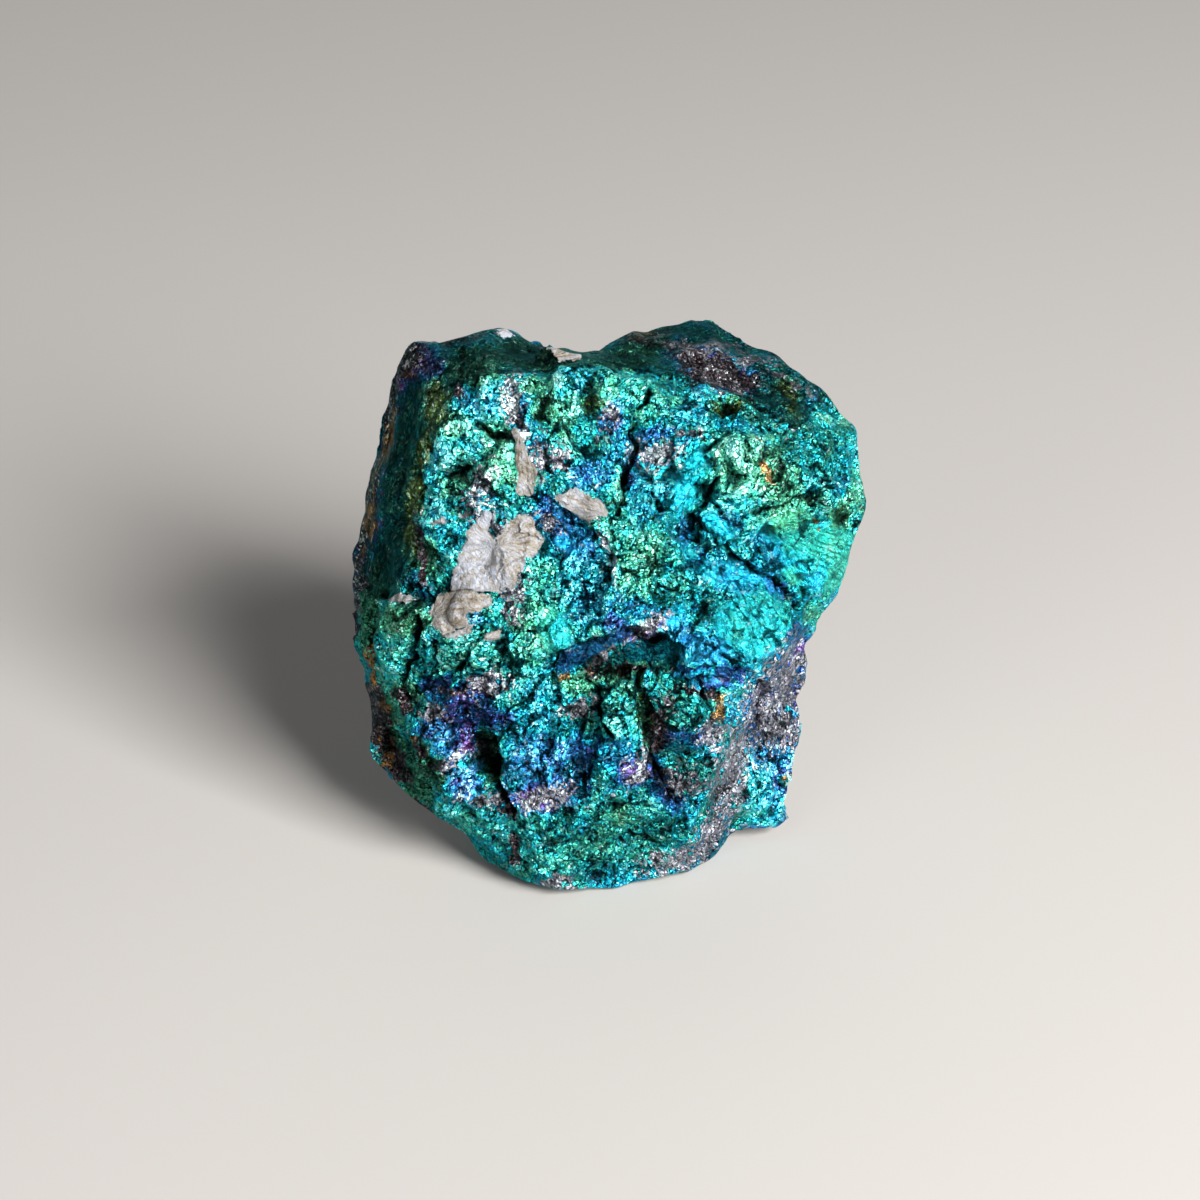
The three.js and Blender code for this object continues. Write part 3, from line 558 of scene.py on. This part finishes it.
GREY_PATCHES = [
    (-8.4, 17.8, 0.8, 2.6, -5), (-7.6, 15.2, 0.6, 1.6, 12), (-11.4, 10.4, 1.2, 2.2, -20),
    (-10.8, 7.8, 1.5, 0.7, 0), (-9.7, 6.6, 0.6, 0.9, 0), (-6.0, 13.0, 0.8, 1.7, 10),
    (-4.2, 12.8, 0.9, 1.0, 0), (0.0, 16.4, 0.6, 1.4, 0), (-16.8, 5.6, 0.3, 2.4, 0),
    (4.2, 13.4, 2.2, 1.2, 5), (7.0, 14.9, 1.2, 0.4, 8), (-8.2, 0.8, 0.9, 2.6, 0),
    (-5.2, 7.2, 1.4, 0.6, -30), (0.0, 4.6, 0.35, 3.4, 20), (4.6, -1.4, 0.8, 0.6, 20),
    (3.4, -2.0, 2.4, 0.75, 38), (-0.6, -5.2, 1.4, 0.5, 30), (-10.6, -6.8, 1.8, 1.1, 10),
    (-15.0, -9.5, 1.2, 0.6, -15), (-13.8, -13.7, 1.2, 0.5, 20), (-11.6, -12.8, 0.6, 0.5, 0),
    (-10.6, -16.9, 2.2, 0.6, -5), (-5.4, -16.6, 2.4, 0.9, 5), (-2.7, -9.1, 1.3, 0.8, 0),
    (9.2, -11.2, 1.3, 1.2, 0), (4.6, -10.2, 0.8, 2.4, -20), (6.8, -15.6, 1.7, 1.1, 0),
    (2.8, -14.0, 0.8, 2.0, -30), (5.8, -22.6, 3.0, 0.9, 10), (-4.4, -24.4, 2.0, 0.6, 0),
    (15.4, -8.0, 2.7, 4.6, -20), (15.6, -10.8, 2.2, 2.2, 0), (16.9, -16.0, 0.5, 2.4, 0),
    (11.0, -14.6, 1.7, 4.8, -12), (8.8, -20.2, 1.1, 3.0, -30), (10.4, 20.0, 2.4, 0.7, -24),
    (6.0, 23.0, 4.0, 0.4, -8), (9.8, 23.1, 2.4, 0.3, 10), (12.6, 22.0, 1.8, 0.25, -20),
    (16.2, 20.0, 2.6, 0.3, -38), (-20.2, -8.8, 0.4, 0.7, 0),
]

# The edges of the patches are ragged and follow the grains.
grain_places = on_face(grain_middles)
rough_noise = 0.5 * wave(1.1, 3, 51.0), 0.5 * wave(1.1, 3, 61.0)
ragged = [0.5 * (a + g) + j for a, g, j in zip((across, up), grain_places, rough_noise)]
painted = CYAN + 0.03 + 0.12 * wave(4.0, 3, 71.0)
shine = 1 + 0.35 * wave(3.0, 2, 131.0)
# The lower part of the broad face is made darker.
patchy = 1 + 0.55 * wave(1.3, 2, 141.0)
patchy *= 1 - 0.28 * ramp(-up - 0.25 * across, 5, 8) * in_front
for here, film, share in undercuts:
    painted += (film - painted) * here
    shine += (share - shine) * here
for *spot, film, share in FILM_PATCHES:
    here = patch(ragged, *spot, edge=0.45) * seen
    painted += (film - painted) * here * 0.9
    shine += (share - shine) * here * 0.85
# Each plane of the broad face differs a little from its neighbours in shine and colour.
nearest = nearness.argmin(axis=1)
shine *= 1 + 0.35 * ((nearest * 0.618) % 1 - 0.5) * in_front
painted += 0.06 * ((nearest * 0.382) % 1 - 0.5)
shine *= 1 + (0.55 * wave(4.0, 2, 211.0) - 0.1) * (1 - seen)
# Behind and below, out of sight of the broad face, the film wanders through all its colours.
wandering = 0.58 + 0.30 * wave(9.0, 3, 81.0) + 0.10 * wave(2.5, 2, 91.0)
film = wandering + (painted - wandering) * seen
# The layered walls come out darker, partly their own film and partly painted shade.
shine *= (1 + (patchy - 1) * (1 - 0.7 * smooth)) * (1 - 0.86 * layered)


def spotted(spots, scattered):
    """Where a kind of ore lies: at its spots in front, and scattered over the rest."""
    share = scattered * (1 - in_front)
    for spot in spots:
        share = np.maximum(share, patch(ragged, *spot, edge=0.7) * seen)
    return share


grey = spotted(GREY_PATCHES, 0.9 * ramp(wave(6.0, 3, 101.0), 0.35, 0.7))
brown = spotted(BROWN_PATCHES, 0.7 * ramp(wave(5.0, 2, 103.0), 0.5, 0.8))
gold = spotted(GOLD_PATCHES, 0.8 * ramp(wave(5.0, 2, 105.0), 0.6, 0.9))

# How far each place lies below or above what is round it. The hollows get painted shade
# and the ridges a painted highlight.
sunk = evened(height, passes=14) - height
hollow = ramp(sunk, 0.08, 0.55) * (0.7 + 0.3 * seen) * (1 - sum(here for here, _, _ in undercuts))
ridge = ramp(-sunk, 0.06, 0.45)

# The mesh, with what the material reads at every vertex.
stone_mesh = bpy.data.meshes.new("ore_stone")
stone.to_mesh(stone_mesh)
stone.free()
for name, values in {
    "film": film, "shine": shine, "grey": grey, "brown": brown, "gold": gold,
    "quartz": quartz, "stain": stain, "hollow": hollow, "ridge": ridge, "crack": crack, "seam": seam,
    "layered": layered, "smooth": smooth, "flow_across": flow_across, "flow_along": flow_along,
}.items():
    layer = stone_mesh.attributes.new(name, "FLOAT", "POINT")
    layer.data.foreach_set("value", values.astype(np.float32))
ore_stone = bpy.data.objects.new("ore_stone", stone_mesh)
bpy.context.scene.collection.objects.link(ore_stone)


class Socket:
    """A shader socket that can be added to, multiplied and so on as a number can."""

    tree = None

    def __init__(self, link):
        self.link = link

    def _maths(self, operation, first, second):
        node = make("ShaderNodeMath", {"operation": operation})
        fill(node.inputs[0], first)
        fill(node.inputs[1], second)
        return Socket(node.outputs[0])

    def __add__(self, other):
        return self._maths("ADD", self, other)

    __radd__ = __add__

    def __mul__(self, other):
        return self._maths("MULTIPLY", self, other)

    def __sub__(self, other):
        return self._maths("SUBTRACT", self, other)

    def __rsub__(self, other):
        return self._maths("SUBTRACT", other, self)

    def above(self, level, softness):
        """0 well below the level and 1 well above it."""
        node = make("ShaderNodeMapRange", {"interpolation_type": "SMOOTHSTEP"}, {
            "Value": self, "From Min": level - softness, "From Max": level + softness,
        })
        return Socket(node.outputs["Result"])


def fill(socket, value):
    """Links a shader input to a Socket, or sets it to a number or colour."""
    if isinstance(value, Socket):
        Socket.tree.links.new(value.link, socket)
    else:
        socket.default_value = value


def make(kind, settings=None, values=None):
    """A shader node of a kind, with its settings made first and its sockets filled or linked."""
    node = Socket.tree.nodes.new(kind)
    for name, value in (settings or {}).items():
        if name == "stops":
            ramp_stops = node.color_ramp.elements
            while len(ramp_stops) < len(value):
                ramp_stops.new(0.5)
            for stop, (position, colour) in zip(ramp_stops, value):
                stop.position = position
                stop.color = (*colour, 1)
        else:
            setattr(node, name, value)
    for name, value in (values or {}).items():
        fill(node.inputs[name], value)
    return node


def attribute(name):
    return Socket(make("ShaderNodeAttribute", {"attribute_name": name}).outputs["Fac"])


def mix(share, first, second):
    """A colour between two colours."""
    node = make("ShaderNodeMix", {"data_type": "RGBA"})
    for socket, value in ((node.inputs[0], share), (node.inputs[6], first), (node.inputs[7], second)):
        fill(socket, value)
    return Socket(node.outputs[2])


def vector_maths(operation, *values, output="Vector"):
    node = make("ShaderNodeVectorMath", {"operation": operation})
    for socket, value in zip(node.inputs, values):
        fill(socket, value)
    return Socket(node.outputs[output])


def scaled(vector, by):
    """A vector or colour made longer or brighter by a number."""
    node = make("ShaderNodeVectorMath", {"operation": "SCALE"}, {"Scale": by})
    fill(node.inputs[0], vector)
    return Socket(node.outputs["Vector"])


def parts(colour):
    """The red, green and blue of a colour. Of a cell's colour they are three random numbers."""
    node = make("ShaderNodeSeparateColor")
    fill(node.inputs[0], colour)
    return [Socket(o) for o in node.outputs]


# The colours of the tarnish by its thickness, as metal reflects them.
FILM_COLOURS = [
    (SILVER, (0.42, 0.36, 0.34)),
    (GOLD, (0.60, 0.26, 0.06)),
    (MAROON, (0.24, 0.11, 0.11)),
    (MAGENTA, (0.46, 0.07, 0.44)),
    (PURPLE, (0.24, 0.10, 0.48)),
    (BLUE, (0.05, 0.18, 0.64)),
    (AZURE, (0.03, 0.37, 0.74)),
    (CYAN, (0.01, 0.58, 0.74)),
    (TEAL, (0.04, 0.66, 0.57)),
    (MINT, (0.17, 0.80, 0.48)),
    (GREEN, (0.025, 0.24, 0.14)),
    (OLIVE, (0.16, 0.28, 0.04)),
]
# Sizes in millimetres of what the break left on the surface, and how far its facets tilt.
PLATE, GRAIN, GLINT = 3.6, 0.31, 0.16
GRAIN_TILT, GLINT_TILT = 0.62, 0.38


def tarnished_ore():
    """Bright tarnish on grains of sulphide, with quartz growing through."""
    material = bpy.data.materials.new("tarnished_ore")
    material.use_nodes = True
    Socket.tree = material.node_tree
    surface = material.node_tree.nodes["Principled BSDF"]
    # Seen at a slant the film still tints what it reflects.
    surface.inputs["Specular Tint"].default_value = (0.36, 0.60, 0.63, 1)
    place = Socket(make("ShaderNodeTexCoord").outputs["Object"])

    def cloud(size_mm, detail=3.0, roughness=0.6, output="Fac", at=place):
        values = {"Vector": at, "Scale": 1 / (size_mm * MM), "Detail": detail, "Roughness": roughness}
        return Socket(make("ShaderNodeTexNoise", {}, values).outputs[output])

    def cells(size_mm, at, feature="F1", output="Color"):
        values = {"Vector": at, "Scale": 1 / (size_mm * MM)}
        return Socket(make("ShaderNodeTexVoronoi", {"feature": feature}, values).outputs[output])

    def centred(colour):
        """A noise or cell colour as a vector that points any way."""
        return vector_maths("SUBTRACT", colour, (0.5, 0.5, 0.5))

    # Within a plate the grains are drawn out in one direction.
    warp, small_warp = centred(cloud(1.2, 3.0, output="Color")), centred(cloud(0.32, 2.0, output="Color"))
    crumpled = vector_maths("ADD", place, scaled(warp, 0.9 * MM))
    crumpled = vector_maths("ADD", crumpled, scaled(small_warp, 0.28 * MM))
    lay = vector_maths("NORMALIZE", centred(cells(PLATE, crumpled)))
    along = vector_maths("DOT_PRODUCT", crumpled, lay, output="Value")
    drawn = vector_maths("SUBTRACT", crumpled, scaled(lay, along * 0.55))
    wrinkled = vector_maths("SUBTRACT", crumpled, scaled(lay, along * 0.85))

    grain, glint = cells(GRAIN, drawn), cells(GLINT, drawn)
    grain_edge = cells(GRAIN, drawn, "DISTANCE_TO_EDGE", "Distance")
    grain_lot, glint_lot = parts(grain), parts(glint)
    mottle, haze, wrinkle = cloud(1.1, 4.0), cloud(0.4), cloud(0.28, 2.0, at=wrinkled)

    # Fine lines, drawn out along the flow that the mesh carries.
    flow = make("ShaderNodeCombineXYZ", {}, {
        "X": attribute("flow_across") * 4.6 + (haze - 0.5) * 1.2, "Y": attribute("flow_along") * 0.7,
    })
    lines = {"Vector": Socket(flow.outputs[0]), "Scale": 1.0, "Detail": 4.0, "Roughness": 0.65}
    fans = Socket(make("ShaderNodeTexNoise", {}, lines).outputs["Fac"])

    # The colour of the film, of the bare grey ore and of the brown and gold spots.
    smooth = (attribute("smooth") + (mottle - 0.5) * 0.4).above(0.5, 0.25)
    film = attribute("film") + ((mottle - 0.5) * 0.22 + (grain_lot[0] - 0.5) * 0.12) * (1 - smooth * 0.7)
    tint = Socket(make("ShaderNodeValToRGB", {"stops": FILM_COLOURS}, {"Fac": film}).outputs["Color"])
    grey = (attribute("grey") + (mottle - 0.5) * 0.9 + (grain_lot[1] - 0.5) * 1.0).above(0.55, 0.15)
    silver = mix(glint_lot[2], (0.20, 0.185, 0.25, 1), (0.54, 0.52, 0.57, 1))
    brown = (attribute("brown") + (mottle - 0.5) * 1.1 + (grain_lot[1] - 0.5) * 0.4).above(0.55, 0.15)
    gold = (attribute("gold") + (mottle - 0.5) * 0.9 + (grain_lot[2] - 0.5) * 0.6).above(0.62, 0.08)
    dull = mix(glint_lot[1].above(0.80, 0.06), (0.11, 0.065, 0.075, 1), (0.42, 0.37, 0.42, 1))
    ore = mix(brown, mix(grey, tint, silver), dull)
    ore = mix(gold, ore, (0.62, 0.32, 0.10, 1))
    # The layered walls are painted darker: partly their own darker film, partly painted shade.
    ore = mix(attribute("layered") * 0.30, ore, (0.07, 0.13, 0.13, 1))
    # A few glint grains are painted near white: painted glints.
    ore = mix(glint_lot[2].above(0.88, 0.04) * (0.30 - smooth * 0.2), ore, (0.60, 0.86, 0.84, 1))

    # How bright each place is: painted shade darkens the gaps, hollows, cracks and seams, and a
    # painted highlight brightens the ridges.
    rough_ground = (1 - attribute("layered") * 0.6) * (1 - smooth * 0.6)
    grain_gap_shade = 1 - (grain_edge + (haze - 0.5) * 0.5).above(0.07, 0.05)
    shaded_hollow = (attribute("hollow") + (mottle - 0.5) * 0.5).above(0.5, 0.35)
    crack_shade = 1 - (attribute("crack") + (haze - 0.5) * 1.6).above(0.65, 0.30)
    seam_shade = 1 - (attribute("seam") + (haze - 0.5) * 0.5 + (mottle - 0.5) * 1.2).above(0.09, 0.09)
    bright = 0.42 + grain_lot[1] * 0.55 + glint_lot[1] * glint_lot[1] * 0.5 + attribute("ridge") * 0.45
    bright = bright * rough_ground + (1 - rough_ground) * (0.10 + fans.above(0.48, 0.08) * 1.4)
    # Painted glints sparkle on the layered walls.
    bright = bright + attribute("layered") * glint_lot[1].above(0.85, 0.05) * 2.2
    bright = bright * (1 - grain_gap_shade * 0.9 * rough_ground) * (1 - shaded_hollow * 0.88) * attribute("shine")
    bright = bright * (1 - crack_shade * 0.92) * (1 - seam_shade * 0.82)
    # The brightest places are painted paler: a painted highlight.
    ore = mix(bright.above(1.2, 0.5) * (0.25 - smooth * 0.2), ore, (0.50, 0.95, 0.70, 1))
    ore = scaled(ore, bright)

    # Quartz, from stained brown to bluish white.
    quartz = (attribute("quartz") + (haze - 0.5) * 0.8).above(0.0, 0.04)
    stain = 0.11 - attribute("stain") * 0.13 + fans * 0.75 + cloud(1.8, 5.0, 0.65) * 0.27
    pale = Socket(make("ShaderNodeValToRGB", {"stops": [
        (0.40, (0.06, 0.04, 0.025)), (0.50, (0.20, 0.165, 0.125)), (0.58, (0.26, 0.245, 0.24)),
        (0.72, (0.30, 0.32, 0.37)),
    ]}, {"Fac": stain}).outputs["Color"])
    # Painted shade in the cracks darkens the quartz too.
    pale = scaled(pale, 1 - crack_shade * 0.7)
    fill(surface.inputs["Base Color"], mix(quartz, ore, pale))
    fill(surface.inputs["Metallic"], (1 - quartz) * (0.95 - grey * 0.35))
    fill(surface.inputs["Roughness"], 0.26 + glint_lot[0] * 0.20 + shaded_hollow * 0.3 + quartz * 0.22)

    normal = Socket(make("ShaderNodeNewGeometry").outputs["Normal"])
    # Each grain, and each glint on it, lies tilted its own way.
    steady = (1 - quartz * 0.4) * rough_ground
    tilted = vector_maths("ADD", normal, scaled(centred(grain), steady * GRAIN_TILT))
    tilted = vector_maths("ADD", tilted, scaled(centred(glint), steady * GLINT_TILT))
    tilted = vector_maths("NORMALIZE", tilted)
    relief = haze * 0.5 + wrinkle * 0.8 + cloud(0.13, 2.0) * 0.25
    relief = relief + grain_edge.above(0.05, 0.08) * 0.5 * rough_ground
    relief = relief + fans * (smooth * 2.6 + quartz * 1.4)
    crumple = make("ShaderNodeBump", {}, {
        "Strength": 0.8, "Distance": 0.3 * MM, "Height": relief * (1 - quartz * 0.5), "Normal": tilted,
    })
    fill(surface.inputs["Normal"], Socket(crumple.outputs["Normal"]))
    return material


stone_mesh.materials.append(tarnished_ore())
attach(ore_stone, "root")
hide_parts("ore_lump")


# The studio: a pale matt floor, a soft light from the right, a weaker one in front to the left, and
# two behind that light the rim.
def plain_floor():
    sheet = bmesh.new()
    bmesh.ops.create_grid(sheet, x_segments=1, y_segments=1, size=3.0)
    mesh = bpy.data.meshes.new("floor")
    sheet.to_mesh(mesh)
    sheet.free()
    material = bpy.data.materials.new("floor")
    material.use_nodes = True
    surface = material.node_tree.nodes["Principled BSDF"]
    surface.inputs["Base Color"].default_value = (0.36, 0.34, 0.32, 1)
    surface.inputs["Roughness"].default_value = 0.8
    mesh.materials.append(material)
    floor = bpy.data.objects.new("floor", mesh)
    bpy.context.scene.collection.objects.link(floor)


plain_floor()


def soft_light(name, side, height, distance, size, watts):
    """A square light turned on the lump: side is degrees to the right of straight in front."""
    lamp = bpy.data.lights.new(name, "AREA")
    lamp.size = size
    lamp.energy = watts
    light = bpy.data.objects.new(name, lamp)
    side, height = math.radians(side), math.radians(height)
    along_floor = math.cos(height)
    away = Vector((math.sin(side) * along_floor, -math.cos(side) * along_floor, math.sin(height)))
    light.location = Vector((0, 0, 0.02)) + away * distance
    light.rotation_euler = away.to_track_quat("Z", "Y").to_euler()
    bpy.context.scene.collection.objects.link(light)


soft_light("key", 40, 32, 0.7, 0.34, 17.0)
soft_light("fill", -35, 22, 1.0, 0.4, 2.0)
soft_light("back", 180, 14, 1.0, 0.8, 2.4)
soft_light("left back", -140, 25, 1.0, 0.6, 0.8)
studio = bpy.data.worlds.new("studio")
studio.use_nodes = True
studio.node_tree.nodes["Background"].inputs["Color"].default_value = (0.9, 0.93, 1.0, 1)
studio.node_tree.nodes["Background"].inputs["Strength"].default_value = 0.07
bpy.context.scene.world = studio

bpy.context.scene.view_settings.view_transform = "Standard"

# The camera looks straight at the broad face, down by the angle that the face leans back.
camera = bpy.data.objects.new("camera", bpy.data.cameras.new("camera"))
camera.data.lens = 100
camera.data.sensor_width = 36
CAMERA_DISTANCE = 292.4
AIM_ACROSS, AIM_UP = -0.70, 0.53
middle_of_view = FACE_MIDDLE + Vector((AIM_ACROSS, 0, 0)) + UP_FACE * AIM_UP
camera.location = (middle_of_view + OUT_OF_FACE * CAMERA_DISTANCE) * MM
camera.rotation_euler = (math.pi / 2 - LEAN, 0, 0)
bpy.context.scene.collection.objects.link(camera)
bpy.context.scene.camera = camera
